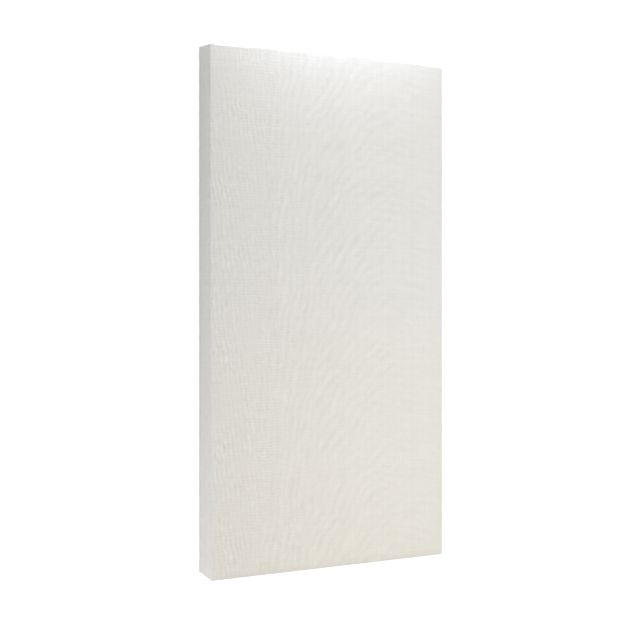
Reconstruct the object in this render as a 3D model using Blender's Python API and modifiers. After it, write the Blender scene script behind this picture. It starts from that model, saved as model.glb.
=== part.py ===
"""Fabric acoustic wall panel, 24 x 48 x 3.5 in, lying on its back.

A timber frame of boards set on edge holds a slab of mineral wool, flush with its front. A thin
backing cloth closes the back, and one piece of upholstery cloth wraps the front and the four
sides and turns over the back as a hem with mitred corners.

Metres. X is the panel's width, Y its height on the wall and Z its depth. The back face lies on
Z = 0, the front face looks up, and the origin is the middle of the back face.
"""

import math

import bmesh
import bpy
from mathutils import Matrix, Vector

# The finished panel, over its cloth
PANEL_WIDTH = 0.6096
PANEL_HEIGHT = 1.2192
PANEL_DEPTH = 0.0889

# The cover cloth: its thickness, the outer radius of its bends and the hem on the back
COVER_THICKNESS = 0.001
COVER_BEND = 0.003
BEND_SEGMENTS = 4
HEM_WIDTH = 0.038
MITRE_SLIT = 0.0008
MITRE_STOP = 0.012

# The backing cloth, and how far its edge stays inside the frame's outer faces
BACKING_THICKNESS = 0.0005
BACKING_INSET = 0.006

# The frame's boards, and the rabbets in the side boards that the top and bottom boards seat in
BOARD_THICKNESS = 0.019
RABBET_DEPTH = 0.0095

# The air space behind the wool slab, which fills the rest of the frame's depth
AIR_SPACE = 0.0093

# The clearance between pieces that touch
SEAT_GAP = 0.0003

# How far a cutter runs past the faces that it cuts
CUTTER_OVERRUN = 0.002

# Worked out from the sizes above: the frame's outer box, inside the cloths
CLOTH_ALLOWANCE = COVER_THICKNESS + SEAT_GAP
FRAME_HALF_WIDTH = PANEL_WIDTH / 2 - CLOTH_ALLOWANCE
FRAME_HALF_HEIGHT = PANEL_HEIGHT / 2 - CLOTH_ALLOWANCE
FRAME_BACK = CLOTH_ALLOWANCE + BACKING_THICKNESS + SEAT_GAP
FRAME_FRONT = PANEL_DEPTH - CLOTH_ALLOWANCE
FRAME_ARRIS = COVER_BEND - CLOTH_ALLOWANCE

# How near two faces lie to count as one plane
SAME_PLANE = 1e-6


def clear_scene():
    """Take out whatever the open file holds."""
    for item in list(bpy.data.objects):
        bpy.data.objects.remove(item, do_unlink=True)


def collection(name):
    """A new collection in the scene."""
    made = bpy.data.collections.new(name)
    bpy.context.scene.collection.children.link(made)
    return made


def finish(name, colour, roughness):
    """A non-metallic material; the colour is linear red, green and blue."""
    material = bpy.data.materials.new(name)
    material.use_nodes = True
    shader = material.node_tree.nodes["Principled BSDF"]
    shader.inputs["Base Color"].default_value = (*colour, 1.0)
    shader.inputs["Roughness"].default_value = roughness
    shader.inputs["Metallic"].default_value = 0.0
    material.diffuse_color = (*colour, 1.0)
    return material


def new_object(name, mesh_data, group, material=None):
    """Put a bmesh in a named object of a collection, and free it."""
    mesh = bpy.data.meshes.new(name)
    mesh_data.to_mesh(mesh)
    mesh_data.free()
    made = bpy.data.objects.new(name, mesh)
    group.objects.link(made)
    if material is not None:
        mesh.materials.append(material)
    return made


def box_mesh(low, high):
    """A bmesh box between two corners."""
    low, high = Vector(low), Vector(high)
    mesh_data = bmesh.new()
    place = Matrix.Translation((low + high) / 2) @ Matrix.Diagonal((*(high - low), 1.0))
    bmesh.ops.create_cube(mesh_data, size=1.0, matrix=place)
    return mesh_data


def cutter(name, mesh_data, group):
    """A hidden solid that only cuts others."""
    made = new_object(name, mesh_data, group)
    made.hide_render = True
    made.display_type = "WIRE"
    return made


def cut(target, tool):
    """Take a cutter's volume out of an object."""
    step = target.modifiers.new("cut_" + tool.name, "BOOLEAN")
    step.operation = "DIFFERENCE"
    step.solver = "EXACT"
    step.object = tool


def round_edges(target, width, limit):
    """Round an object's edges: all sharp ones by ANGLE, or the marked ones by WEIGHT."""
    step = target.modifiers.new("rounded_edges", "BEVEL")
    step.width = width
    step.segments = BEND_SEGMENTS
    step.limit_method = limit
    step.use_clamp_overlap = False
    return step


def mark_arrises(mesh_data):
    """Mark the edges of a board that lie along an outer edge of the whole frame."""
    weight = mesh_data.edges.layers.float.new("bevel_weight_edge")

    def outer_planes(corner):
        x, y, z = corner.co
        return {
            "side": abs(abs(x) - FRAME_HALF_WIDTH) < SAME_PLANE,
            "end": abs(abs(y) - FRAME_HALF_HEIGHT) < SAME_PLANE,
            "back": abs(z - FRAME_BACK) < SAME_PLANE,
            "front": abs(z - FRAME_FRONT) < SAME_PLANE,
        }

    for edge in mesh_data.edges:
        first, second = (outer_planes(corner) for corner in edge.verts)
        shared = [plane for plane in first if first[plane] and second[plane]]
        if len(shared) >= 2:
            edge[weight] = 1.0


def board(name, low, high, group, material):
    """A frame board whose outer arrises are eased, so that they don't cut the cloth."""
    mesh_data = box_mesh(low, high)
    mark_arrises(mesh_data)
    made = new_object(name, mesh_data, group, material)
    round_edges(made, FRAME_ARRIS, "WEIGHT")
    return made


def build_frame(group, cutters, timber):
    """Two side boards run the full height; the end boards seat in rabbets in their inner faces."""
    seat_x = FRAME_HALF_WIDTH - BOARD_THICKNESS + RABBET_DEPTH
    end_y = FRAME_HALF_HEIGHT - BOARD_THICKNESS
    inner_x = FRAME_HALF_WIDTH - BOARD_THICKNESS

    rabbets = bmesh.new()
    for side in (-1, 1):
        for end in (-1, 1):
            low_y, high_y = sorted((end * (end_y - SEAT_GAP), end * (FRAME_HALF_HEIGHT + CUTTER_OVERRUN)))
            low_x, high_x = sorted((side * (inner_x - CUTTER_OVERRUN), side * seat_x))
            low = Vector((low_x, low_y, FRAME_BACK - CUTTER_OVERRUN))
            high = Vector((high_x, high_y, FRAME_FRONT + CUTTER_OVERRUN))
            place = Matrix.Translation((low + high) / 2) @ Matrix.Diagonal((*(high - low), 1.0))
            bmesh.ops.create_cube(rabbets, size=1.0, matrix=place)
    rabbet_cutter = cutter("rabbets", rabbets, cutters)

    for name, side in (("left_rail", -1), ("right_rail", 1)):
        low_x, high_x = sorted((side * inner_x, side * FRAME_HALF_WIDTH))
        low = (low_x, -FRAME_HALF_HEIGHT, FRAME_BACK)
        high = (high_x, FRAME_HALF_HEIGHT, FRAME_FRONT)
        cut(board(name, low, high, group, timber), rabbet_cutter)

    for name, end in (("bottom_rail", -1), ("top_rail", 1)):
        low_y, high_y = sorted((end * end_y, end * FRAME_HALF_HEIGHT))
        half_length = seat_x - SEAT_GAP
        board(name, (-half_length, low_y, FRAME_BACK), (half_length, high_y, FRAME_FRONT), group, timber)


def build_core(group, wool):
    """The wool slab fills the frame's inside, flush with its front; air is left behind it."""
    half_width = FRAME_HALF_WIDTH - BOARD_THICKNESS - SEAT_GAP
    half_height = FRAME_HALF_HEIGHT - BOARD_THICKNESS - SEAT_GAP
    low = (-half_width, -half_height, FRAME_BACK + AIR_SPACE)
    high = (half_width, half_height, FRAME_FRONT)
    new_object("wool_core", box_mesh(low, high), group, wool)


def build_backing(group, cloth):
    """A flat sheet across the frame's back, with its edges under the cover's hem."""
    mesh_data = bmesh.new()
    size = (2 * (FRAME_HALF_WIDTH - BACKING_INSET), 2 * (FRAME_HALF_HEIGHT - BACKING_INSET), 1.0, 1.0)
    place = Matrix.Translation((0.0, 0.0, CLOTH_ALLOWANCE)) @ Matrix.Diagonal(size)
    bmesh.ops.create_grid(mesh_data, x_segments=1, y_segments=1, size=0.5, matrix=place)
    sheet = new_object("backing_cloth", mesh_data, group, cloth)
    step = sheet.modifiers.new("cloth_thickness", "SOLIDIFY")
    step.thickness = BACKING_THICKNESS
    step.offset = 1.0


def build_cover(group, cutters, cloth):
    """One cloth over the front and sides, turned over the back as a hem, mitred at its corners."""
    half_width, half_height = PANEL_WIDTH / 2, PANEL_HEIGHT / 2
    mesh_data = box_mesh((-half_width, -half_height, 0.0), (half_width, half_height, PANEL_DEPTH))
    back = min(mesh_data.faces, key=lambda face: face.calc_center_median().z)
    bmesh.ops.inset_region(mesh_data, faces=[back], thickness=HEM_WIDTH, use_even_offset=True)
    bmesh.ops.delete(mesh_data, geom=[back], context="FACES_ONLY")
    cover = new_object("fabric_cover", mesh_data, group, cloth)
    round_edges(cover, COVER_BEND, "ANGLE").angle_limit = math.radians(30)
    step = cover.modifiers.new("cloth_thickness", "SOLIDIFY")
    step.thickness = COVER_THICKNESS
    step.offset = -1.0
    step.use_even_offset = True

    slits = bmesh.new()
    run = (HEM_WIDTH - MITRE_STOP) * math.sqrt(2) + CUTTER_OVERRUN
    for side in (-1, 1):
        for end in (-1, 1):
            inner = Vector((side * (half_width - HEM_WIDTH), end * (half_height - HEM_WIDTH), 0.0))
            outward = Vector((side, end, 0.0)).normalized()
            middle = inner + outward * (run / 2 - CUTTER_OVERRUN)
            turn = Matrix.Rotation(math.atan2(end, side), 4, "Z")
            size = Matrix.Diagonal((run, MITRE_SLIT, 2 * CLOTH_ALLOWANCE, 1.0))
            bmesh.ops.create_cube(slits, size=1.0, matrix=Matrix.Translation(middle) @ turn @ size)
    cut(cover, cutter("mitre_slits", slits, cutters))


def main():
    clear_scene()
    panel = collection("fabric_acoustic_wall_panel")
    cutters = collection("cutters")
    build_frame(panel, cutters, finish("pine_board", (0.62, 0.44, 0.26), 0.65))
    build_core(panel, finish("mineral_wool", (0.50, 0.42, 0.24), 0.95))
    build_backing(panel, finish("backing_cloth", (0.60, 0.59, 0.56), 0.9))
    build_cover(panel, cutters, finish("cover_cloth", (0.75, 0.73, 0.69), 0.92))


main()
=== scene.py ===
# %% [markdown]
# # A fabric-wrapped acoustic panel
#
# The real object is a shallow timber tray filled with mineral wool, with one off-white cloth
# pulled over it and stapled behind. It lies on its back here, so the photo's upright view
# becomes a view from above, and +Y is the photo's up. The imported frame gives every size.

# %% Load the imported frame
import math

import bpy
import numpy as np
from mathutils import Matrix, Vector


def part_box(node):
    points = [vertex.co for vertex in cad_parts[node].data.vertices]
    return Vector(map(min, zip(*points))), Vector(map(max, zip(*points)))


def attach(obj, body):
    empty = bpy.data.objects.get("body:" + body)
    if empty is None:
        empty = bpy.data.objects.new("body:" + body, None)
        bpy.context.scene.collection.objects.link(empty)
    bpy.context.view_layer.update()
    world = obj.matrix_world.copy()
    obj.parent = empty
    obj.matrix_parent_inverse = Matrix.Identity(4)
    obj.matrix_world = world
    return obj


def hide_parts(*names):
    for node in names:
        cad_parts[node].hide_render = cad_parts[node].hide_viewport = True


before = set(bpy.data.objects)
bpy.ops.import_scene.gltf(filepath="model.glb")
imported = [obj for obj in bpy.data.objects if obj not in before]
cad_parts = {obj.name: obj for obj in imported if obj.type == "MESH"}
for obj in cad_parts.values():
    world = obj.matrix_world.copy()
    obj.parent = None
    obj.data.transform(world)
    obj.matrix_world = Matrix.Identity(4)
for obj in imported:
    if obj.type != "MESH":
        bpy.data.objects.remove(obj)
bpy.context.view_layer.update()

low, high = (np.array(corner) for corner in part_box("fabric_cover"))
HALF_WIDTH, HALF_HEIGHT, DEPTH = high[0], high[1], high[2]
MM = 0.001
print("panel, mm:", np.round((high - low) / MM, 1).tolist())

# %% [markdown]
# ## The camera
#
# The photo was taken with the panel upright and the lens level, a little to the panel's left.
# Its verticals don't converge, so the framing came from shifting the lens and not from tilting
# it. The same view of a panel that lies on its back looks down, turned by the same angle, with
# the panel's height running up the picture.

# %% Place the camera at the photo's viewing angle
# Fitted to the panel's outline in the photo: pixels, degrees, and metres from the lens
PICTURE = 640
FOCAL_PIXELS = 1057.3
OPTICAL_ROW = 297.8
SENSOR_MM = 36.0
TURN = math.radians(24.56)
NEAR_EDGE_AHEAD = 2.4003
NEAR_EDGE_LEFT = 0.2473
TOP_ABOVE_LENS = 0.5758
VIEW_RANGE = 50.0

across = Vector((math.cos(TURN), 0.0, math.sin(TURN)))
ahead = Vector((math.sin(TURN), 0.0, -math.cos(TURN)))
near_edge = Vector((-HALF_WIDTH, HALF_HEIGHT - TOP_ABOVE_LENS, DEPTH))
lens_place = near_edge + across * NEAR_EDGE_LEFT - ahead * NEAR_EDGE_AHEAD

camera = bpy.data.objects.new("camera", bpy.data.cameras.new("camera"))
bpy.context.scene.collection.objects.link(camera)
turned = Matrix((across, Vector((0.0, 1.0, 0.0)), -ahead)).transposed().to_4x4()
camera.matrix_world = Matrix.Translation(lens_place) @ turned
camera.data.sensor_width = SENSOR_MM
camera.data.lens = FOCAL_PIXELS / PICTURE * SENSOR_MM
camera.data.shift_y = (OPTICAL_ROW - PICTURE / 2) / PICTURE
camera.data.clip_end = VIEW_RANGE
bpy.context.scene.camera = camera
bpy.context.scene.view_settings.view_transform = "Standard"
print("lens, m:", np.round(lens_place, 3).tolist(), "focal length, mm:", round(camera.data.lens, 1))

# %% [markdown]
# ## Node sums as Python
#
# A weave is a sum of waves, and a sum reads better as `1 - mask` than as a chain of boxes. So one
# small class wraps a socket and overloads the operators: each adds a Math node. Every other node
# comes from the `add` method, which sets its settings first and then its sockets. Materials and
# geometry trees have the same Math node, so both kinds of tree share these two classes.


# %% A socket that takes part in sums
class Signal:
    """A number that varies over a surface or along a guide."""

    def __init__(self, wiring, socket):
        self.wiring = wiring
        self.socket = socket

    def math(self, operation, *others):
        return self.wiring.math(operation, self, *others)

    def __add__(self, other):
        return self.math("ADD", other)

    def __mul__(self, other):
        return self.math("MULTIPLY", other)

    def __sub__(self, other):
        return self.math("SUBTRACT", other)

    def __rsub__(self, other):
        return self.wiring.math("SUBTRACT", other, self)

    def __truediv__(self, other):
        return self.math("DIVIDE", other)

    def __pow__(self, other):
        return self.math("POWER", other)

    def __gt__(self, other):
        return self.math("GREATER_THAN", other)

    __radd__ = __add__
    __rmul__ = __mul__

    def sin(self):
        return self.math("SINE")

    def size(self):
        return self.math("ABSOLUTE")

    def whole(self):
        return self.math("FLOOR")


print("sums ready")

# %% A tree of nodes, and the ways of adding to it


class Wiring:
    """A node tree of either kind."""

    def __init__(self, tree):
        self.tree = tree

    def add(self, kind, settings=None, **sockets):
        made = self.tree.nodes.new(kind)
        for name, value in (settings or {}).items():
            setattr(made, name, value)
        for name, value in sockets.items():
            title = name.replace("_", " ")
            socket = next(found for found in made.inputs if found.enabled and found.name == title)
            self.feed(socket, value)
        return made

    def feed(self, socket, value):
        if isinstance(value, Signal):
            self.tree.links.new(value.socket, socket)
        elif isinstance(value, bpy.types.NodeSocket):
            self.tree.links.new(value, socket)
        else:
            socket.default_value = value

    def math(self, operation, *values):
        made = self.add("ShaderNodeMath", {"operation": operation})
        for socket, value in zip(made.inputs, values):
            self.feed(socket, value)
        return Signal(self, made.outputs[0])

    def join(self, x=0.0, y=0.0, z=0.0):
        return self.add("ShaderNodeCombineXYZ", X=x, Y=y, Z=z).outputs[0]


class Bench(Wiring):
    """A material's tree."""

    def __init__(self, name):
        self.material = bpy.data.materials.new(name)
        self.material.use_nodes = True
        super().__init__(self.material.node_tree)
        self.shader = self.tree.nodes["Principled BSDF"]

    def split(self, vector):
        parts = self.add("ShaderNodeSeparateXYZ", Vector=vector)
        return [Signal(self, parts.outputs[axis]) for axis in "XYZ"]

    def noise(self, vector, scale, detail=2.0, roughness=0.5, distortion=0.0):
        made = self.add("ShaderNodeTexNoise", Vector=vector, Scale=scale, Detail=detail,
                        Roughness=roughness, Distortion=distortion)
        return Signal(self, made.outputs[0])

    def scatter(self, vector):
        """A different number from 0 to 1 for each value of a vector."""
        made = self.add("ShaderNodeTexWhiteNoise", {"noise_dimensions": "3D"}, Vector=vector)
        return Signal(self, made.outputs["Value"])

    def blend(self, share, first, second):
        """A colour between two others."""
        made = self.add("ShaderNodeMix", {"data_type": "RGBA", "clamp_factor": True}, Factor=share,
                        A=(*first, 1.0), B=(*second, 1.0))
        return made.outputs[2]

    def tint(self, colour, level):
        """A colour made lighter or darker by a number."""
        made = self.add("ShaderNodeVectorMath", {"operation": "SCALE"}, Vector=colour, Scale=level)
        return made.outputs[0]

    def emboss(self, height, depth, strength=1.0):
        bump = self.add("ShaderNodeBump", Height=height, Distance=depth, Strength=strength)
        self.set(Normal=bump.outputs[0])

    def set(self, **sockets):
        for name, value in sockets.items():
            self.feed(self.shader.inputs[name.replace("_", " ")], value)


print("benches ready")

# %% [markdown]
# ## The cover cloth
#
# The cover is an open plain weave of thick, slightly uneven yarn, one over and one under. From two
# metres its threads are finer than the picture's pixels, and what shows is their unevenness: a
# broken, watered pattern where the two sets of threads drift in and out of step. Its streaks stand
# nearly upright at the left, where short level ones cross them, lean over to the right in the
# middle and lie almost level beyond.
#
# An image could hold all this, but a sum of waves stays sharp at any distance. It is drawn on the
# cloth's own flat map, in metres, so the threads turn every bend with the cloth.

# %% Choose the yarn and the streaks
THREAD = 1.25 * MM
CLOTH_COLOUR = (0.795, 0.776, 0.741)
# The darker colour is painted shade in the weave's hollows on the cover, and a random fleck tone on the
# loose yarn
GAP_SHADE_AND_FLECK_COLOUR = (0.62, 0.605, 0.575)
SHADE_PER_YARN = 0.030
SHADE_PER_SLUB = 0.10
SHADE_PER_FLECK = 0.05

# Lean is in degrees from level, and length is how far the marks are drawn out along it. Middle
# and spread say where across the panel, in metres, a kind of streak shows.
STREAKS = (
    {"lean": 97, "spacing": 11 * MM, "length": 1.5, "middle": -0.28, "spread": 0.13, "strength": 0.084},
    {"lean": 0, "spacing": 7 * MM, "length": 2.0, "middle": -0.19, "spread": 0.15, "strength": 0.054},
    {"lean": 83, "spacing": 18 * MM, "length": 2.5, "middle": -0.11, "spread": 0.08, "strength": 0.064},
    {"lean": 58, "spacing": 22 * MM, "length": 2.5, "middle": 0.00, "spread": 0.09, "strength": 0.062},
    {"lean": 38, "spacing": 25 * MM, "length": 2.5, "middle": 0.10, "spread": 0.08, "strength": 0.050},
    {"lean": -12, "spacing": 22 * MM, "length": 2.5, "middle": 0.22, "spread": 0.11, "strength": 0.038},
)
print("kinds of streak:", len(STREAKS))

# %% Draw one kind of streak
BROAD_BEND, FINE_BEND = 2.6, 0.9
WAVE_SHARE, MARK_SHARE = 0.3, 2.4
PATCH_SCALE, PATCH_CONTRAST = 12.0, 3.2
OWN_MARKS, OWN_PATCHES = 900, 90


def streak(bench, flat, u, v, lean, spacing, length, middle, spread, strength):
    """Faint waves and long uneven marks in one direction, bent by noise and faded outside their zone."""
    lean = math.radians(lean)
    bend = bench.noise(flat, 7.0) * BROAD_BEND + bench.noise(flat, 55.0) * FINE_BEND
    across = (v * math.cos(lean) - u * math.sin(lean)) / spacing + bend
    along = (u * math.cos(lean) + v * math.sin(lean)) / spacing
    wave = (across * (2 * math.pi)).sin() * WAVE_SHARE
    marks = bench.noise(bench.join(across * 1.25, along / length, spacing * OWN_MARKS), 1.0, 3.0, 0.6) - 0.5
    patches = bench.noise(bench.join(u + spacing * OWN_PATCHES, v), PATCH_SCALE) ** 2.0 * PATCH_CONTRAST
    zone = (((u - middle) / spread) ** 2.0 * -1.0).math("EXPONENT")
    return (wave + marks * MARK_SHARE) * patches * zone * strength


print("a streak wanders by up to", BROAD_BEND + FINE_BEND, "times its spacing")

# %% Weave the cover cloth's material
DRIFT = 3 * THREAD
CROWN_ACROSS, CROWN_ALONG = 0.8, 0.3
SLUB_STRETCH = 28.0
FLECK_SCALE, FUZZ_SCALE = 260.0, 2600.0
GAP_SHADE_SHARE = 0.55
YARN_RELIEF = 0.22 * MM


def weave_cover():
    bench = Bench("cover_cloth")
    flat = bench.add("ShaderNodeUVMap", {"uv_map": "cloth"}).outputs[0]
    u, v, _ = bench.split(flat)
    drift = bench.noise(flat, 9.0) * DRIFT
    warp, weft = (u + drift) / THREAD, (v + drift) / THREAD
    warp_wave, weft_wave = (warp * math.pi).sin(), (weft * math.pi).sin()
    warp_round, weft_round = warp_wave.size(), weft_wave.size()
    warp_on_top = (warp_wave * weft_wave) > 0.0
    warp_crown = (warp_round ** CROWN_ACROSS) * (weft_round ** CROWN_ALONG)
    weft_crown = (warp_round ** CROWN_ALONG) * (weft_round ** CROWN_ACROSS)
    crown = warp_crown * warp_on_top + weft_crown * (1 - warp_on_top)

    warp_yarn = bench.scatter(bench.join(warp.whole(), 3.0))
    weft_yarn = bench.scatter(bench.join(7.0, weft.whole()))
    warp_slub = bench.noise(bench.join(warp, v * SLUB_STRETCH), 0.9, 3.0)
    weft_slub = bench.noise(bench.join(u * SLUB_STRETCH, weft), 0.9, 3.0)
    shade = (warp_yarn + weft_yarn - 1.0) * SHADE_PER_YARN
    shade += (warp_slub + weft_slub - 1.0) * SHADE_PER_SLUB
    shade += (bench.noise(flat, FLECK_SCALE) - 0.5) * SHADE_PER_FLECK
    for kind in STREAKS:
        shade += streak(bench, flat, u, v, **kind)

    # Painted shade: the cloth darkens towards the darker colour where a yarn dips under its neighbour and
    # in the gaps between yarns
    colour = bench.blend((1 - crown) * GAP_SHADE_SHARE, CLOTH_COLOUR, GAP_SHADE_AND_FLECK_COLOUR)
    bench.set(Base_Color=bench.tint(colour, 1.0 + shade), Roughness=0.93 - crown * 0.08,
              Sheen_Weight=0.12, Sheen_Roughness=0.4, Specular_IOR_Level=0.25)
    fuzz = bench.noise(flat, FUZZ_SCALE)
    bench.emboss(crown * 0.8 + (warp_slub + weft_slub) * 0.25 + fuzz * 0.12, YARN_RELIEF, 0.8)
    return bench.material


cover_cloth = weave_cover()
print("cover cloth: threads every", round(THREAD / MM, 2), "mm")

# %% [markdown]
# ## Backing cloth, timber, wool and wire
#
# The backing is a spun cloth with no weave: a mat of fibres, spot-welded in a fine grid. It is
# drawn on the cloth's flat map, as the weave is. A picture of such a cloth would do as well, but
# it would have to be joined somewhere, and noise has no joins.

# %% Spin the backing cloth
WELD_PITCH = 1.6 * MM
BACKING_DARK, BACKING_LIGHT = (0.52, 0.51, 0.48), (0.70, 0.69, 0.66)
FIBRE_RELIEF = 0.12 * MM


def spin_backing():
    bench = Bench("backing_cloth")
    flat = bench.add("ShaderNodeUVMap", {"uv_map": "cloth"}).outputs[0]
    u, v, _ = bench.split(flat)
    fibres = bench.noise(flat, 900.0, 4.0, 0.7, 1.5)
    clouds = bench.noise(flat, 45.0, 4.0)
    welds = ((u / WELD_PITCH * math.pi).sin() * (v / WELD_PITCH * math.pi).sin()).size() ** 3.0
    colour = bench.blend(clouds, BACKING_DARK, BACKING_LIGHT)
    bench.set(Base_Color=bench.tint(colour, 0.9 + fibres * 0.25 - welds * 0.12),
              Roughness=0.85 - welds * 0.25)
    bench.emboss(fibres - welds * 0.6, FIBRE_RELIEF)
    return bench.material


backing_finish = spin_backing()
print("backing: welds every", round(WELD_PITCH / MM, 2), "mm")

# %% [markdown]
# The boards are planed pine, whose grain is rings cut along their length. So the noise hardly
# changes along a board and changes quickly through the frame's depth. The slab is a mat of short
# glassy fibres in layers, made in the same way with finer noise. Staples are bright wire with
# fine draw marks. These three read Object coordinates, so that a pattern runs through the whole
# piece as it does in the real stuff.

# %% Saw the pine
EARLY_WOOD, LATE_WOOD = (0.66, 0.48, 0.29), (0.47, 0.28, 0.13)
RINGS_PER_METRE, RING_WANDER = 120.0, 9.0
GRAIN_RELIEF = 0.2 * MM


def saw_pine():
    bench = Bench("pine_board")
    place = bench.add("ShaderNodeTexCoord").outputs["Object"]
    x, y, z = bench.split(place)
    wander = bench.noise(bench.join(x * 4.0, y * 4.0, z * 60.0), 1.2, 3.0)
    rings = ((wander * RING_WANDER + z * (2 * RINGS_PER_METRE)) * math.pi).sin() * 0.5 + 0.5
    pores = bench.noise(bench.join(x * 40.0, y * 40.0, z * 900.0), 1.0, 3.0)
    colour = bench.blend(rings ** 2.0, EARLY_WOOD, LATE_WOOD)
    bench.set(Base_Color=bench.tint(colour, 0.88 + pores * 0.24), Roughness=0.55 + pores * 0.2)
    bench.emboss(rings * 0.5 + pores, GRAIN_RELIEF)
    return bench.material


pine = saw_pine()
print("pine: a ring about every", round(1 / RINGS_PER_METRE / MM, 1), "mm")

# %% Felt the wool and draw the wire
WOOL_DARK, WOOL_LIGHT = (0.42, 0.36, 0.18), (0.60, 0.53, 0.32)
WOOL_RELIEF = 1.2 * MM
WIRE_DARK, WIRE_LIGHT = (0.52, 0.53, 0.55), (0.72, 0.73, 0.75)
WIRE_RELIEF = 0.02 * MM


def felt_wool():
    bench = Bench("mineral_wool")
    place = bench.add("ShaderNodeTexCoord").outputs["Object"]
    x, y, z = bench.split(place)
    strands = bench.noise(bench.join(x * 1.0, y * 1.0, z * 6.0), 260.0, 5.0, 0.7, 2.0)
    layers = bench.noise(bench.join(x * 0.3, y * 0.3, z * 9.0), 40.0, 3.0)
    colour = bench.blend(layers, WOOL_DARK, WOOL_LIGHT)
    bench.set(Base_Color=bench.tint(colour, 0.7 + strands * 0.6), Roughness=0.95)
    bench.emboss(strands + layers * 0.5, WOOL_RELIEF)
    return bench.material


def draw_wire():
    bench = Bench("staple_wire")
    place = bench.add("ShaderNodeTexCoord").outputs["Object"]
    marks = bench.noise(place, 1800.0, 3.0)
    bench.set(Base_Color=bench.blend(marks, WIRE_DARK, WIRE_LIGHT),
              Metallic=1.0, Roughness=0.28 + marks * 0.2)
    bench.emboss(marks, WIRE_RELIEF)
    return bench.material


wool, wire = felt_wool(), draw_wire()
print("materials:", [material.name for material in (cover_cloth, backing_finish, pine, wool, wire)])

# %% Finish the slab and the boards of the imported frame
FINISHES = {"wool_core": wool, "left_rail": pine, "right_rail": pine, "top_rail": pine, "bottom_rail": pine}


def dress(node, material):
    """Put a material on a carried-over part, in place of its plain one."""
    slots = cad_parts[node].material_slots
    if not slots:
        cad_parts[node].data.materials.append(material)
    for slot in slots:
        slot.material = material


for node, material in FINISHES.items():
    dress(node, material)
print("carried-over parts finished:", len(FINISHES))

# %% [markdown]
# ## The shape of the pulled cloth
#
# A simulation would only find what tension already fixes: a cloth this tight lies flat on its
# block. So the cover is written as a rule. A grid covers a sharp box, with its lines close
# together at the bends and the corner folds. Each point is then pressed onto the rounded box,
# and moved a little out or in: the wool stands slightly prouder than the frame, the cloth
# ripples, staples pull it in, and each corner has its folded layers.

# %% Lay out the grid lines
BEND = 3.0 * MM
CLOTH_THICK = 1.0 * MM
HEM = 38.0 * MM
MITRE_SLIT = 0.8 * MM
MITRE_STOP = 12.0 * MM
GRID_STEP = 11.0 * MM
HEM_STEP = 3.0 * MM
BEND_STEPS = [1 - math.tan(math.radians(angle)) for angle in (45, 30, 15, 0)]

# From an edge inwards: where each zone of lines ends, and their step in it
ACROSS_ZONES = ((13 * MM, 1.15 * MM), (90 * MM, 3.2 * MM), (100 * MM, 10 * MM))
UP_ZONES = ((45 * MM, 5 * MM), (54 * MM, 9 * MM))
DEEP_ZONES = ((36 * MM, 3.2 * MM),)


def spaced(start, stop, step):
    """Points after start, up to and with stop, about a step apart."""
    count = max(1, round((stop - start) / step))
    return np.linspace(start, stop, count + 1)[1:]


def lines(half, zones):
    """Grid lines over -half to half: from each edge the bend and the zones, then even steps."""
    inward = [BEND * step for step in BEND_STEPS]
    for end, step in zones:
        inward.extend(spaced(inward[-1], end, step))
    left = np.array(inward) - half
    count = int(-left[-1] / GRID_STEP)
    middle = np.arange(-count, count + 1) * GRID_STEP
    return np.concatenate([left, middle, -left[::-1]])


x_lines = lines(HALF_WIDTH, ACROSS_ZONES)
y_lines = lines(HALF_HEIGHT, UP_ZONES)
z_lines = lines(DEPTH / 2, DEEP_ZONES) + DEPTH / 2
hem_lines = np.array([BEND * step for step in BEND_STEPS] + list(spaced(BEND, HEM, HEM_STEP)))
print("grid lines across, up, deep, hem:", len(x_lines), len(y_lines), len(z_lines), len(hem_lines))

# %% [markdown]
# The sheet is nine patches: the front, four sides and four strips of hem. They share the points
# of their common edges, except at the mitres behind, where the two strips of hem stop either
# side of a narrow slit. Each patch also knows where its points lay on the flat cloth.

# %% A sheet that is built from patches
SAME_PLACE = 0.01 * MM


class Sheet:
    """Quads over shared points, with each corner's place on the flat cloth."""

    def __init__(self):
        self.index, self.points, self.quads, self.flat = {}, [], [], []

    def point(self, place):
        key = tuple(np.round(np.array(place) / SAME_PLACE).astype(int))
        if key not in self.index:
            self.index[key] = len(self.points)
            self.points.append(place)
        return self.index[key]

    def patch(self, first, second, place, flat, flip):
        """A grid of quads; place and flat turn two grid values into a point and its flat place."""
        grid = [[self.point(place(a, b)) for b in second] for a in first]
        where = [[flat(a, b) for b in second] for a in first]
        for i in range(len(first) - 1):
            for j in range(len(second) - 1):
                turn = [(i, j), (i + 1, j), (i + 1, j + 1), (i, j + 1)]
                turn = turn[::-1] if flip else turn
                self.quads.append([grid[a][b] for a, b in turn])
                self.flat.append([where[a][b] for a, b in turn])


print("points nearer than", SAME_PLACE / MM, "mm are one")

# %% Build the patches on the sharp box


def hem_across(value, half, hem):
    """A grid value on the hem, drawn in with the mitre and kept clear of its slit."""
    drawn = value * (half - hem) / half
    limit = half - hem - (MITRE_SLIT / math.sqrt(2) if hem > MITRE_STOP else 0.0)
    return float(np.clip(drawn, -limit, limit))


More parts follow.
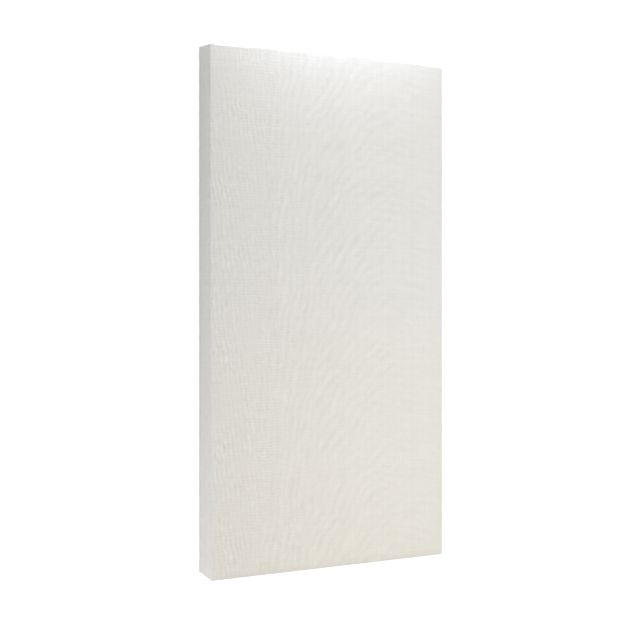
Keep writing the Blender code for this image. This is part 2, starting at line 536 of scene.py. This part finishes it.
sheet = Sheet()
sheet.patch(x_lines, y_lines, lambda x, y: (x, y, DEPTH), lambda x, y: (x, y), False)
for end in (-1, 1):
    sheet.patch(
        x_lines, z_lines,
        lambda x, z: (x, end * HALF_HEIGHT, z),
        lambda x, z: (x, end * (HALF_HEIGHT + DEPTH - z)), end > 0)
    sheet.patch(
        x_lines, hem_lines,
        lambda x, hem: (hem_across(x, HALF_WIDTH, hem), end * (HALF_HEIGHT - hem), 0.0),
        lambda x, hem: (hem_across(x, HALF_WIDTH, hem), end * (HALF_HEIGHT + DEPTH + hem)), end < 0)
for side in (-1, 1):
    sheet.patch(
        y_lines, z_lines,
        lambda y, z: (side * HALF_WIDTH, y, z),
        lambda y, z: (side * (HALF_WIDTH + DEPTH - z), y), side < 0)
    sheet.patch(
        y_lines, hem_lines,
        lambda y, hem: (side * (HALF_WIDTH - hem), hem_across(y, HALF_HEIGHT, hem), 0.0),
        lambda y, hem: (side * (HALF_WIDTH + DEPTH + hem), hem_across(y, HALF_HEIGHT, hem)), side > 0)
sharp = np.array(sheet.points)
print("points:", len(sharp), "quads:", len(sheet.quads))

# %% [markdown]
# Each point is first measured: how far it lies from the edges and from the front, and which face
# it is on. One rule then presses the sharp box onto the rounded one: find the nearest point of a
# smaller box inside it, and go out from there by the bend's radius.

# %% Measure where each point lies and which way is out
x, y, z = sharp.T
from_edge = {"left": x + HALF_WIDTH, "right": HALF_WIDTH - x,
             "top": HALF_HEIGHT - y, "bottom": y + HALF_HEIGHT}
from_side = np.minimum(from_edge["left"], from_edge["right"])
from_end = np.minimum(from_edge["top"], from_edge["bottom"])
from_front = DEPTH - z
back_share = np.clip(from_front / DEPTH, 0, 1)
on_front = from_front < SAME_PLACE
on_back = z < SAME_PLACE
on_end = (from_end < SAME_PLACE) & ~on_back

core_low = np.array([-HALF_WIDTH + BEND, -HALF_HEIGHT + BEND, BEND])
core_high = np.array([HALF_WIDTH - BEND, HALF_HEIGHT - BEND, DEPTH - BEND])
core = np.clip(sharp, core_low, core_high)
outward = sharp - core
outward /= np.linalg.norm(outward, axis=1)[:, None]
print("points on the front:", np.sum(on_front), "on the back:", np.sum(on_back))

# %% Ways for a height to grow, to fade and to ripple
random = np.random.default_rng(24)


def smooth(t):
    """From 0 at 0 to 1 at 1, level at both ends."""
    t = np.clip(t, 0.0, 1.0)
    return t * t * (3 - 2 * t)


def between(distance, ends):
    """From 0 at the first end to 1 at the second."""
    return smooth((distance - ends[0]) / (ends[1] - ends[0]))


def rise(distance, reach):
    """From 0 towards 1, quickly at first and then ever more slowly."""
    return 1 - np.exp(-distance / reach)


def ripples(a, b, count, shortest, longest):
    """A sum of long shallow waves in random directions."""
    total = np.zeros_like(a)
    for _ in range(count):
        length = random.uniform(shortest, longest)
        angle, start = random.uniform(0, math.pi), random.uniform(0, 2 * math.pi)
        along = a * math.cos(angle) + b * math.sin(angle)
        total += np.sin(2 * math.pi * along / length + start)
    return total / math.sqrt(count)


print("share risen at one reach:", round(float(rise(1.0, 1.0)), 2))

# %% [markdown]
# The front is crowned: it rises quickly over the frame's edge and then slowly over the wool. The
# wool has settled towards the foot, where it pushes the cloth out and makes it roll over the
# lower edge. The long pull leaves shallow ripples, which die out at the edges.

# %% Crown the front
BOARD_RISE = 2.4 * MM
BOARD_REACH = {"left": 20 * MM, "right": 40 * MM, "top": 14 * MM, "bottom": 15 * MM}
WOOL_RISE = 3.2 * MM
WOOL_REACH = {"left": 90 * MM, "right": 220 * MM, "top": 55 * MM, "bottom": 45 * MM}
SETTLED = 3.4 * MM
SETTLED_ROLL, SETTLED_FADE, SETTLED_SIDE = 12 * MM, 220 * MM, 22 * MM
RIPPLE, RIPPLE_EDGE = 0.22 * MM, 30 * MM

board_rise, wool_rise = BOARD_RISE * np.ones_like(x), WOOL_RISE * np.ones_like(x)
for edge, distance in from_edge.items():
    board_rise *= rise(distance, BOARD_REACH[edge])
    wool_rise *= rise(distance, WOOL_REACH[edge])
settled = SETTLED * rise(from_edge["bottom"], SETTLED_ROLL) * np.exp(-from_edge["bottom"] / SETTLED_FADE)
crown = board_rise + wool_rise + settled * rise(from_side, SETTLED_SIDE)
envelope = rise(from_side, RIPPLE_EDGE) * rise(from_end, RIPPLE_EDGE)
front_lift = crown + RIPPLE * ripples(x, y, count=9, shortest=0.09, longest=0.34) * envelope
print("front stands proud by, mm:", round(float(front_lift[on_front].max()) / MM, 1))

# %% [markdown]
# The sides ripple less, and near the back each staple draws them in a little. The left board
# leans out at its front, more towards the top.

# %% Shape the sides and press the points onto the box
SIDE_RIPPLE = 0.5 * RIPPLE
STAPLE_PITCH = 4 * GRID_STEP
STAPLE_PULL, PULL_REACH, PULL_FLATNESS = 0.35 * MM, 22 * MM, 0.3
BOARD_LEAN, LEAN_REACH = 4.0 * MM, 60 * MM

mid_side = np.sin(np.pi * back_share)
side_lift = SIDE_RIPPLE * ripples(x + y, z * 2, count=7, shortest=0.05, longest=0.2) * mid_side
near_back = np.exp(-z / PULL_REACH)
along_edge = np.where(from_side < from_end, y, x)
drawn_in = np.cos(2 * np.pi * along_edge / STAPLE_PITCH)
side_lift -= STAPLE_PULL * drawn_in * near_back * mid_side ** PULL_FLATNESS
lift = np.where(on_front, front_lift, np.where(on_back, 0.0, side_lift))
placed = core + outward * (BEND + lift[:, None])
height_share = (y + HALF_HEIGHT) / (2 * HALF_HEIGHT)
placed[:, 0] -= BOARD_LEAN * height_share * (z / DEPTH) * np.exp(-from_edge["left"] / LEAN_REACH)
print("cover before its folds, mm:", np.round((placed.max(0) - placed.min(0)) / MM, 1).tolist())

# %% [markdown]
# Every corner of the two ends hides a triangle of folded cloth behind a lip. Here the fold is a
# height over the end face: `from_side` runs along the end from the corner and `from_front` runs
# back. The lip leans in as it goes back, the folded triangle behind it is two layers thick, and
# the top layer is drawn towards the corner so that it overhangs the step.

# %% Fold the corners
FOLD_THICK, FOLD_ROLL, FOLD_SLOPE = 2.0 * MM, 14 * MM, 0.8
LIP_START, LIP_LEAN = 6.2 * MM, 0.035
LIP_ROLL, LIP_REACH = 1.1 * MM, 2.5 * MM

past_lip = from_side - (LIP_START + LIP_LEAN * from_front)
behind_lip = past_lip > 0
fold_start = smooth(from_front / FOLD_ROLL)
triangle = 1 - smooth((past_lip - FOLD_SLOPE * from_front) / FOLD_ROLL)
layers = FOLD_THICK * fold_start * triangle * behind_lip
placed[:, 1] += np.where(on_end, np.sign(y) * layers, 0.0)
roll = LIP_ROLL * np.exp(-np.abs(past_lip) / LIP_REACH) * behind_lip * fold_start
placed[:, 0] += np.where(on_end, np.sign(x) * roll, 0.0)
print("points on the folds:", np.sum(on_end & (layers > SAME_PLACE)))

# %% [markdown]
# At the top left the folds are bunched into a pad that grows towards the back, and it lifts the
# corner as the photo's outline shows. Between its folded corners the cloth bows up a little over
# the top board, with a faint wave.

# %% Bunch the top left corner and bow the top
BUNCHED, BUNCH_WIDTH, BUNCH_FADE = 14.0 * MM, 55 * MM, 28 * MM
CREASE, CREASE_LENGTH, CREASE_START = 0.12, 7 * MM, 10 * MM
TOP_WAVE, TOP_WAVE_SIDE = 0.7 * MM, 20 * MM
TOP_BOW, TOP_FADE = 3.3 * MM, 15 * MM
BOW_LEFT, BOW_RIGHT = (70 * MM, 150 * MM), (45 * MM, 75 * MM)

bunch = BUNCHED * back_share * (1 - smooth(from_side / BUNCH_WIDTH)) * np.exp(-from_end / BUNCH_FADE)
bunch *= 1 + CREASE * np.sin(from_side / CREASE_LENGTH) * smooth(from_side / CREASE_START)
placed[:, 1] += np.where((x < 0) & (y > 0), bunch, 0.0)
top_wave = TOP_WAVE * ripples(x, x * 0, count=5, shortest=0.08, longest=0.2)
top_wave *= rise(from_side, TOP_WAVE_SIDE)
top_bow = TOP_BOW * between(from_edge["left"], BOW_LEFT) * between(from_edge["right"], BOW_RIGHT)
top_lift = (top_wave + top_bow) * np.exp(-from_end / TOP_FADE)
placed[:, 1] += np.where((y > 0) & ~on_back, top_lift, 0.0)
placed[:, 2] = np.maximum(placed[:, 2], 0.0)
print("cover, mm:", np.round((placed.max(0) - placed.min(0)) / MM, 1).tolist())

# %% [markdown]
# The hem's edge is a scissor cut, so it wanders a little between the mitres. Each staple bites
# into the hem and leaves a long dimple. The staples run 12 mm in from the panel's edge, over the
# boards, and each sits on a grid line, so the dimples are alike. The list of places is used again
# for the staples themselves.

# %% Cut the hem's edge
CUT_WANDER, WANDER_DEPTH, WANDER_MITRE = 1.2 * MM, 12 * MM, 40 * MM
STRIP_SHIFT = 3

hem_depth = np.minimum(from_side, from_end)
on_end_hem = from_end < from_side
along_hem = np.where(on_end_hem, x, y)
to_mitre = np.where(on_end_hem, from_side, from_end) - HEM
near_cut = smooth((hem_depth - HEM + WANDER_DEPTH) / WANDER_DEPTH)
near_cut *= smooth(to_mitre / WANDER_MITRE) * on_back
own_wave = along_hem + STRIP_SHIFT * np.sign(x + 2 * y)
wander = CUT_WANDER * ripples(own_wave, along_hem * 0, count=6, shortest=0.03, longest=0.16) * near_cut
placed[:, 0] += np.where(on_end_hem, 0.0, wander)
placed[:, 1] += np.where(on_end_hem, wander, 0.0)
print("hem's edge wanders by up to, mm:", round(float(np.abs(wander).max()) / MM, 1))

# %% Set out the staples and press their dimples
DIMPLE, DIMPLE_LONG, DIMPLE_WIDE = 0.45 * MM, 7.5 * MM, 4.5 * MM
STAPLE_LINE, LAST_STAPLE = 12 * MM, 36 * MM


def staple_places():
    """Centre of each staple and the turn of its crown, along the two ends and the two sides."""
    places = []
    for half, reach, turn in ((HALF_WIDTH, HALF_HEIGHT - STAPLE_LINE, 0.0),
                              (HALF_HEIGHT, HALF_WIDTH - STAPLE_LINE, math.pi / 2)):
        count = int((half - LAST_STAPLE) / STAPLE_PITCH)
        for side in (-1, 1):
            for step in range(-count, count + 1):
                along = hem_across(step * STAPLE_PITCH, half, STAPLE_LINE)
                places.append((side * reach, along, turn) if turn else (along, side * reach, turn))
    return places


staples = staple_places()
hem_points = np.flatnonzero(on_back)
for staple_x, staple_y, turn in staples:
    offset = placed[hem_points, :2] - (staple_x, staple_y)
    along, across = (offset[:, ::-1] if turn else offset).T
    placed[hem_points, 2] += DIMPLE * np.exp(-(along / DIMPLE_LONG) ** 2 - (across / DIMPLE_WIDE) ** 2)
print("staples:", len(staples))

# %% Make the cover a mesh with thickness


def cloth_object(name, points, quads, flat, thick, material):
    """A cloth from quads: smooth, with its flat map and its thickness inside the given face."""
    mesh = bpy.data.meshes.new(name)
    mesh.from_pydata([tuple(p) for p in points], [], quads)
    mesh.uv_layers.new(name="cloth").data.foreach_set("uv", np.array(flat, float).ravel())
    mesh.materials.append(material)
    mesh.polygons.foreach_set("use_smooth", [True] * len(mesh.polygons))
    made = bpy.data.objects.new(name, mesh)
    bpy.context.scene.collection.objects.link(made)
    step = made.modifiers.new("thickness", "SOLIDIFY")
    step.thickness = thick
    step.offset = -1.0
    return made


cover = cloth_object("cover", placed, sheet.quads, sheet.flat, CLOTH_THICK, cover_cloth)
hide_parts("fabric_cover")
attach(cover, "root")
print("cover: faces before its thickness", len(cover.data.polygons))

# %% [markdown]
# ## The backing
#
# The backing lies flat across the boards and slackens slightly over the air space behind the
# wool. It is a plain grid with the same thickness tool as the cover.

# %% Stretch the backing cloth
SLACK, SLACK_EDGE = 1.6 * MM, 60 * MM
SLACK_LEVEL, SLACK_WAVE = 0.5, 0.25
BACKING_STEP = 14 * MM
back_low, back_high = (np.array(corner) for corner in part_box("backing_cloth"))
_, wool_high = (np.array(corner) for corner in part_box("wool_core"))


def stretch_backing():
    xs = np.linspace(back_low[0], back_high[0], round((back_high[0] - back_low[0]) / BACKING_STEP))
    ys = np.linspace(back_low[1], back_high[1], round((back_high[1] - back_low[1]) / BACKING_STEP))
    grid = Sheet()
    grid.patch(xs, ys, lambda a, b: (a, b, back_low[2]), lambda a, b: (a, b), True)
    points = np.array(grid.points)
    inside = np.minimum(wool_high[0] - np.abs(points[:, 0]), wool_high[1] - np.abs(points[:, 1]))
    waves = ripples(points[:, 0], points[:, 1], count=6, shortest=0.1, longest=0.4)
    slack = smooth(inside / SLACK_EDGE) * (SLACK_LEVEL + SLACK_WAVE * waves)
    points[:, 2] += SLACK * np.clip(slack, 0, 1)
    thick = back_high[2] - back_low[2]
    return cloth_object("backing", points, grid.quads, grid.flat, thick, backing_finish)


backing = stretch_backing()
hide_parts("backing_cloth")
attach(backing, "root")
print("backing, mm:", np.round((back_high - back_low) / MM, 1).tolist())

# %% [markdown]
# ## Staples and yarn ends
#
# Two small things repeat behind the panel. A pneumatic stapler sets a bent wire at each dimple,
# never quite straight. And a cut edge of an open weave frays: the yarns that run out over it end
# in short loose tips, some bent, some missing, with a long one here and there. Both grow on a
# guide: a point for each staple, and a line for each cut edge. A tree of geometry nodes makes one
# shape, sets it along the guide with small random turns from a fixed seed, and the result is
# kept as a plain mesh.

# %% A tree that grows copies of a shape along a guide


class Grower(Wiring):
    """A tree of geometry nodes whose sizes are its named inputs."""

    def __init__(self, name, **sizes):
        super().__init__(bpy.data.node_groups.new(name, "GeometryNodeTree"))
        face = self.tree.interface
        face.new_socket("Guide", in_out="INPUT", socket_type="NodeSocketGeometry")
        face.new_socket("Piece", in_out="OUTPUT", socket_type="NodeSocketGeometry")
        self.sizes = {}
        for title, value in sizes.items():
            kind = "NodeSocketInt" if isinstance(value, int) else "NodeSocketFloat"
            socket = face.new_socket(title.replace("_", " "), in_out="INPUT", socket_type=kind)
            self.sizes[socket.identifier] = value
        self.start = self.tree.nodes.new("NodeGroupInput")
        self.guide = self.start.outputs["Guide"]

    def value(self, title):
        return Signal(self, self.start.outputs[title])

    def attribute(self, title):
        made = self.add("GeometryNodeInputNamedAttribute", {"data_type": "FLOAT"}, Name=title)
        return Signal(self, made.outputs["Attribute"])

    def random(self, low, high, number):
        """A number for each copy; number tells one use from another."""
        made = self.add("FunctionNodeRandomValue", {"data_type": "FLOAT"}, Min=low, Max=high,
                        Seed=self.value("Seed") + number)
        return Signal(self, next(found for found in made.outputs if found.enabled))

    def turned(self, x, y, z):
        return self.add("FunctionNodeEulerToRotation", Euler=self.join(x, y, z)).outputs[0]

    def tube(self, curve, radius, sides):
        ring = self.add("GeometryNodeCurvePrimitiveCircle", Resolution=sides, Radius=radius)
        tube = self.add("GeometryNodeCurveToMesh", Curve=curve, Profile_Curve=ring.outputs[0],
                        Fill_Caps=True)
        return self.add("GeometryNodeSetShadeSmooth", Geometry=tube.outputs[0]).outputs[0]

    def finish(self, copies, material):
        real = self.add("GeometryNodeRealizeInstances", Geometry=copies)
        dressed = self.add("GeometryNodeSetMaterial", Geometry=real.outputs[0], Material=material)
        end = self.tree.nodes.new("NodeGroupOutput")
        self.feed(end.inputs["Piece"], dressed.outputs[0])

    def grow(self, name, points, edges, turns):
        """Run the tree on a guide with a turn at each point, and keep the result as a plain mesh."""
        guide = bpy.data.meshes.new(name + "_guide")
        guide.from_pydata(points, edges, [])
        guide.attributes.new("turn", "FLOAT", "POINT").data.foreach_set("value", turns)
        host = bpy.data.objects.new(name + "_guide", guide)
        bpy.context.scene.collection.objects.link(host)
        step = host.modifiers.new("grow", "NODES")
        step.node_group = self.tree
        for identifier, value in self.sizes.items():
            step[identifier] = value
        grown = host.evaluated_get(bpy.context.evaluated_depsgraph_get())
        piece = bpy.data.objects.new(name, bpy.data.meshes.new_from_object(grown))
        bpy.context.scene.collection.objects.link(piece)
        host.modifiers.remove(step)
        bpy.data.objects.remove(host)
        return piece


print("growing ready")

# %% Drive the staples
STAPLE_PROUD = 0.1 * MM
STAPLE_HEIGHT = DIMPLE - STAPLE_PROUD
WIRE_SIDES = 6


def staple_tree():
    tree = Grower("staples", Crown=10.6 * MM, Leg=8.0 * MM, Wire=0.35 * MM, Corner=0.9 * MM,
                  Lean=math.radians(3), Seed=24)
    crown = tree.value("Crown")
    step = Signal(tree, tree.add("GeometryNodeInputIndex").outputs[0]) - 1.5
    across = (step * crown).math("MINIMUM", crown * 0.5).math("MAXIMUM", crown * -0.5)
    down = (step.size() > 1.0) * tree.value("Leg")
    line = tree.add("GeometryNodeMeshLine", Count=4)
    bent = tree.add("GeometryNodeSetPosition", Geometry=line.outputs[0],
                    Position=tree.join(across, 0.0, down))
    path = tree.add("GeometryNodeMeshToCurve", Mesh=bent.outputs[0])
    path = tree.add("GeometryNodeFilletCurve", {"mode": "POLY"}, Curve=path.outputs[0], Count=2,
                    Radius=tree.value("Corner"))
    wire_tube = tree.tube(path.outputs[0], tree.value("Wire"), WIRE_SIDES)
    lean = tree.value("Lean")
    turned = tree.turned(tree.random(lean * -1.0, lean, 1), tree.random(lean * -0.5, lean * 0.5, 2),
                         tree.attribute("turn") + tree.random(lean * -1.0, lean, 3))
    copies = tree.add("GeometryNodeInstanceOnPoints", Points=tree.guide, Instance=wire_tube,
                      Rotation=turned)
    tree.finish(copies.outputs[0], wire)
    return tree


staple_points = [(staple_x, staple_y, STAPLE_HEIGHT) for staple_x, staple_y, turn in staples]
staple_piece = staple_tree().grow("staples", staple_points, [], [turn for *place, turn in staples])
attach(staple_piece, "root")
print("staples: faces", len(staple_piece.data.polygons))

# %% Find the four cut edges
EDGE_HEIGHT = 0.5 * CLOTH_THICK


def cut_edges():
    """Points, edges and inward turns along the cut edges of the four strips of hem."""
    points, edges, turns = [], [], []
    at_cut = on_back & (hem_depth > HEM - SAME_PLACE)
    for on_ends, side, turn in ((False, -1, 0.0), (False, 1, math.pi),
                                (True, -1, math.pi / 2), (True, 1, -math.pi / 2)):
        sign = y if on_ends else x
        strip = np.flatnonzero(at_cut & (on_end_hem == on_ends) & (sign * side > 0))
        strip = strip[np.argsort(along_hem[strip])]
        first = len(points)
        points.extend((placed[i, 0], placed[i, 1], EDGE_HEIGHT) for i in strip)
        edges.extend((i, i + 1) for i in range(first, len(points) - 1))
        turns.extend([turn] * len(strip))
    return points, edges, turns


edge_points, edge_lines, edge_turns = cut_edges()
print("cut edges: points", len(edge_points))

# %% Spin the loose yarn
TWIST_LENGTH = 0.9 * MM
TWIST_RELIEF = 0.08 * MM


def spin_yarn():
    bench = Bench("loose_yarn")
    place = bench.add("ShaderNodeTexCoord").outputs["Object"]
    x, y, z = bench.split(place)
    twist = ((x + y + z * 2.0) / TWIST_LENGTH * (2 * math.pi)).sin() * 0.5 + 0.5
    fuzz = bench.noise(place, FUZZ_SCALE)
    # Here the darker colour is a random fleck tone from the fuzz noise, not painted shade
    bench.set(Base_Color=bench.tint(bench.blend(fuzz, CLOTH_COLOUR, GAP_SHADE_AND_FLECK_COLOUR), 0.86 + twist * 0.14),
              Roughness=0.9, Sheen_Weight=0.2, Sheen_Roughness=0.4, Specular_IOR_Level=0.25)
    bench.emboss(twist + fuzz * 0.5, TWIST_RELIEF)
    return bench.material


yarn = spin_yarn()
print("loose yarn: a twist every", round(TWIST_LENGTH / MM, 1), "mm")

# %% Let the yarn ends fray
YARN_SIDES = 5


def fray_tree(material, name, **sizes):
    tree = Grower(name, Seed=7, **sizes)
    line = tree.add("GeometryNodeMeshToCurve", Mesh=tree.guide)
    places = tree.add("GeometryNodeResampleCurve", {"mode": "LENGTH"}, Curve=line.outputs[0],
                      Length=tree.value("Pitch"))
    length, bend = tree.value("Length"), tree.value("Bend")
    path = tree.add("GeometryNodeCurvePrimitiveBezierSegment", Resolution=4,
                    Start=tree.join(length * -0.3, 0.0, 0.0),
                    Start_Handle=tree.join(length * 0.2, 0.0, 0.0),
                    End_Handle=tree.join(length * 0.7, bend * 0.2, 0.0),
                    End=tree.join(length, bend, 0.0))
    strand = tree.tube(path.outputs[0], tree.value("Thick"), YARN_SIDES)
    fan = tree.value("Fan")
    flip = (tree.random(0.0, 1.0, 1) > 0.5) * math.pi
    turned = tree.turned(flip, tree.random(fan * -0.07, fan * 0.07, 2),
                         tree.attribute("turn") + tree.random(fan * -1.0, fan, 3))
    stretch = tree.random(tree.value("Shortest"), tree.value("Longest"), 4)
    copies = tree.add("GeometryNodeInstanceOnPoints", Points=places.outputs[0], Instance=strand,
                      Selection=tree.random(0.0, 1.0, 5) > tree.value("Missing"), Rotation=turned,
                      Scale=tree.join(stretch, 1.0, 1.0))
    tree.finish(copies.outputs[0], material)
    return tree


tips = fray_tree(yarn, "yarn tips", Pitch=THREAD, Length=4.0 * MM, Thick=0.32 * MM, Bend=0.6 * MM,
                 Shortest=0.35, Longest=1.3, Fan=math.radians(20), Missing=0.3)
strays = fray_tree(yarn, "stray yarns", Pitch=90 * MM, Length=18.0 * MM, Thick=0.3 * MM, Bend=6.0 * MM,
                   Shortest=0.5, Longest=1.4, Fan=math.radians(55), Missing=0.35)
frayed = [tips.grow("yarn_tips", edge_points, edge_lines, edge_turns),
          strays.grow("stray_yarns", edge_points, edge_lines, edge_turns)]
for piece in frayed:
    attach(piece, "root")
    print(piece.name, "faces", len(piece.data.polygons))

CUT_WIDTH = 2 * (HALF_WIDTH + DEPTH + HEM)

# %% [markdown]
# ## The stage and the light
#
# The photo's panel floats on white. So the floor is a large pale sheet, mixed with plain white for
# what the camera sees and for what metal and glass mirror, and only a trace of the shadow shows
# on it. The room is white in the same way. To the cloth both are plain surfaces, which light it
# no more than real ones would.

# %% Lay the floor and paint the room
FLOOR_SIZE = 40.0
SHOWN_WHITE = 0.84
SHOWN_LEVEL = 1.125
ROOM_LEVEL = 0.41
WHITE = (1.0, 1.0, 1.0, 1.0)
WHITE_RAYS = ("Is Camera Ray", "Is Glossy Ray", "Is Transmission Ray")


def show_white(wiring, end, lit, white, share):
    """Show white to the camera and in metal and glass, while the plain surface lights the object."""
    path = wiring.add("ShaderNodeLightPath")
    seen, mirrored, through = (Signal(wiring, path.outputs[title]) for title in WHITE_RAYS)
    shown = (seen + mirrored + through).math("MINIMUM", 1.0) * share
    mixed = wiring.add("ShaderNodeMixShader")
    for socket, value in zip(mixed.inputs, (shown, lit.outputs[0], white.outputs[0])):
        wiring.feed(socket, value)
    wiring.feed(wiring.tree.nodes[end].inputs["Surface"], mixed.outputs[0])


def lay_floor():
    half = FLOOR_SIZE / 2
    mesh = bpy.data.meshes.new("floor")
    mesh.from_pydata([(-half, -half, 0), (half, -half, 0), (half, half, 0), (-half, half, 0)],
                     [], [(0, 1, 2, 3)])
    floor = bpy.data.objects.new("floor", mesh)
    bpy.context.scene.collection.objects.link(floor)
    bench = Bench("floor")
    bench.set(Base_Color=(0.9, 0.9, 0.9, 1.0), Roughness=0.9, Specular_IOR_Level=0.1)
    white = bench.add("ShaderNodeEmission", Color=WHITE, Strength=SHOWN_LEVEL)
    show_white(bench, "Material Output", bench.shader, white, SHOWN_WHITE)
    mesh.materials.append(bench.material)


def paint_room():
    world = bpy.data.worlds.new("room")
    bpy.context.scene.world = world
    world.use_nodes = True
    room = Wiring(world.node_tree)
    lit = room.tree.nodes["Background"]
    room.feed(lit.inputs["Color"], WHITE)
    room.feed(lit.inputs["Strength"], ROOM_LEVEL)
    white = room.add("ShaderNodeBackground", Color=WHITE, Strength=1.0)
    show_white(room, "World Output", lit, white, 1.0)


lay_floor()
paint_room()
print("floor, m:", FLOOR_SIZE, "room level:", ROOM_LEVEL)

# %% [markdown]
# The light is soft and comes from all round, as in a white room, which itself gives two fifths of
# full white. One broad lamp in front gives the face most of its level, and one far out on each
# side evens the face and lights the sides. Two small warm lamps near the foot lift the lower end,
# which is a little yellower in the photo. Three strips beyond the top edge brighten the head of
# the cloth. They are all area lamps, whose soft shadows leave no line on the cloth.

# %% Hang the lamps
# Name, place, target, width and height, power in watts, colour
LAMPS = (
    ("front", (0.45, 0.0, 1.7), (0.1, 0.0, 0.0), (1.0, 1.0), 13.7, (0.985, 0.965, 1.0)),
    ("right", (2.4, 0.0, 1.1), (0.1, 0.0, 0.05), (1.2, 2.0), 10.0, (0.73, 1.0, 0.92)),
    ("left", (-5.0, 0.0, 0.9), (-0.3, 0.0, 0.0), (2.5, 1.0), 41.8, (0.74, 0.895, 1.0)),
    ("low left", (-1.2, -0.9, 0.25), (-0.3, -0.5, 0.05), (0.5, 0.3), 2.8, (1.0, 0.915, 0.88)),
    ("lower front", (0.1, -0.8, 0.95), (0.0, -0.5, 0.0), (0.6, 0.5), 1.7, (1.0, 0.87, 0.53)),
    ("strip", (0.0, 0.86, 0.22), (0.0, 0.6, 0.08), (0.5, 0.06), 0.65, (0.87, 0.98, 1.0)),
    ("high strip", (0.05, 0.95, 0.5), (0.05, 0.55, 0.08), (0.7, 0.1), 0.7, (1.0, 0.89, 0.8)),
    ("edge strip", (0.05, 0.64, 0.2), (0.05, 0.6, 0.08), (0.5, 0.05), 0.046, (0.34, 0.475, 1.0)),
)


def hang_lamp(name, place, target, size, power, colour):
    """A soft square or oblong lamp that faces its target."""
    data = bpy.data.lights.new(name, "AREA")
    data.shape = "RECTANGLE"
    data.size, data.size_y = size
    data.energy = power
    data.color = colour
    lamp = bpy.data.objects.new(name, data)
    lamp.location = place
    lamp.rotation_euler = (Vector(target) - Vector(place)).to_track_quat("-Z", "Y").to_euler()
    bpy.context.scene.collection.objects.link(lamp)


for lamp in LAMPS:
    hang_lamp(*lamp)
print("lamps:", [name for name, *rest in LAMPS])
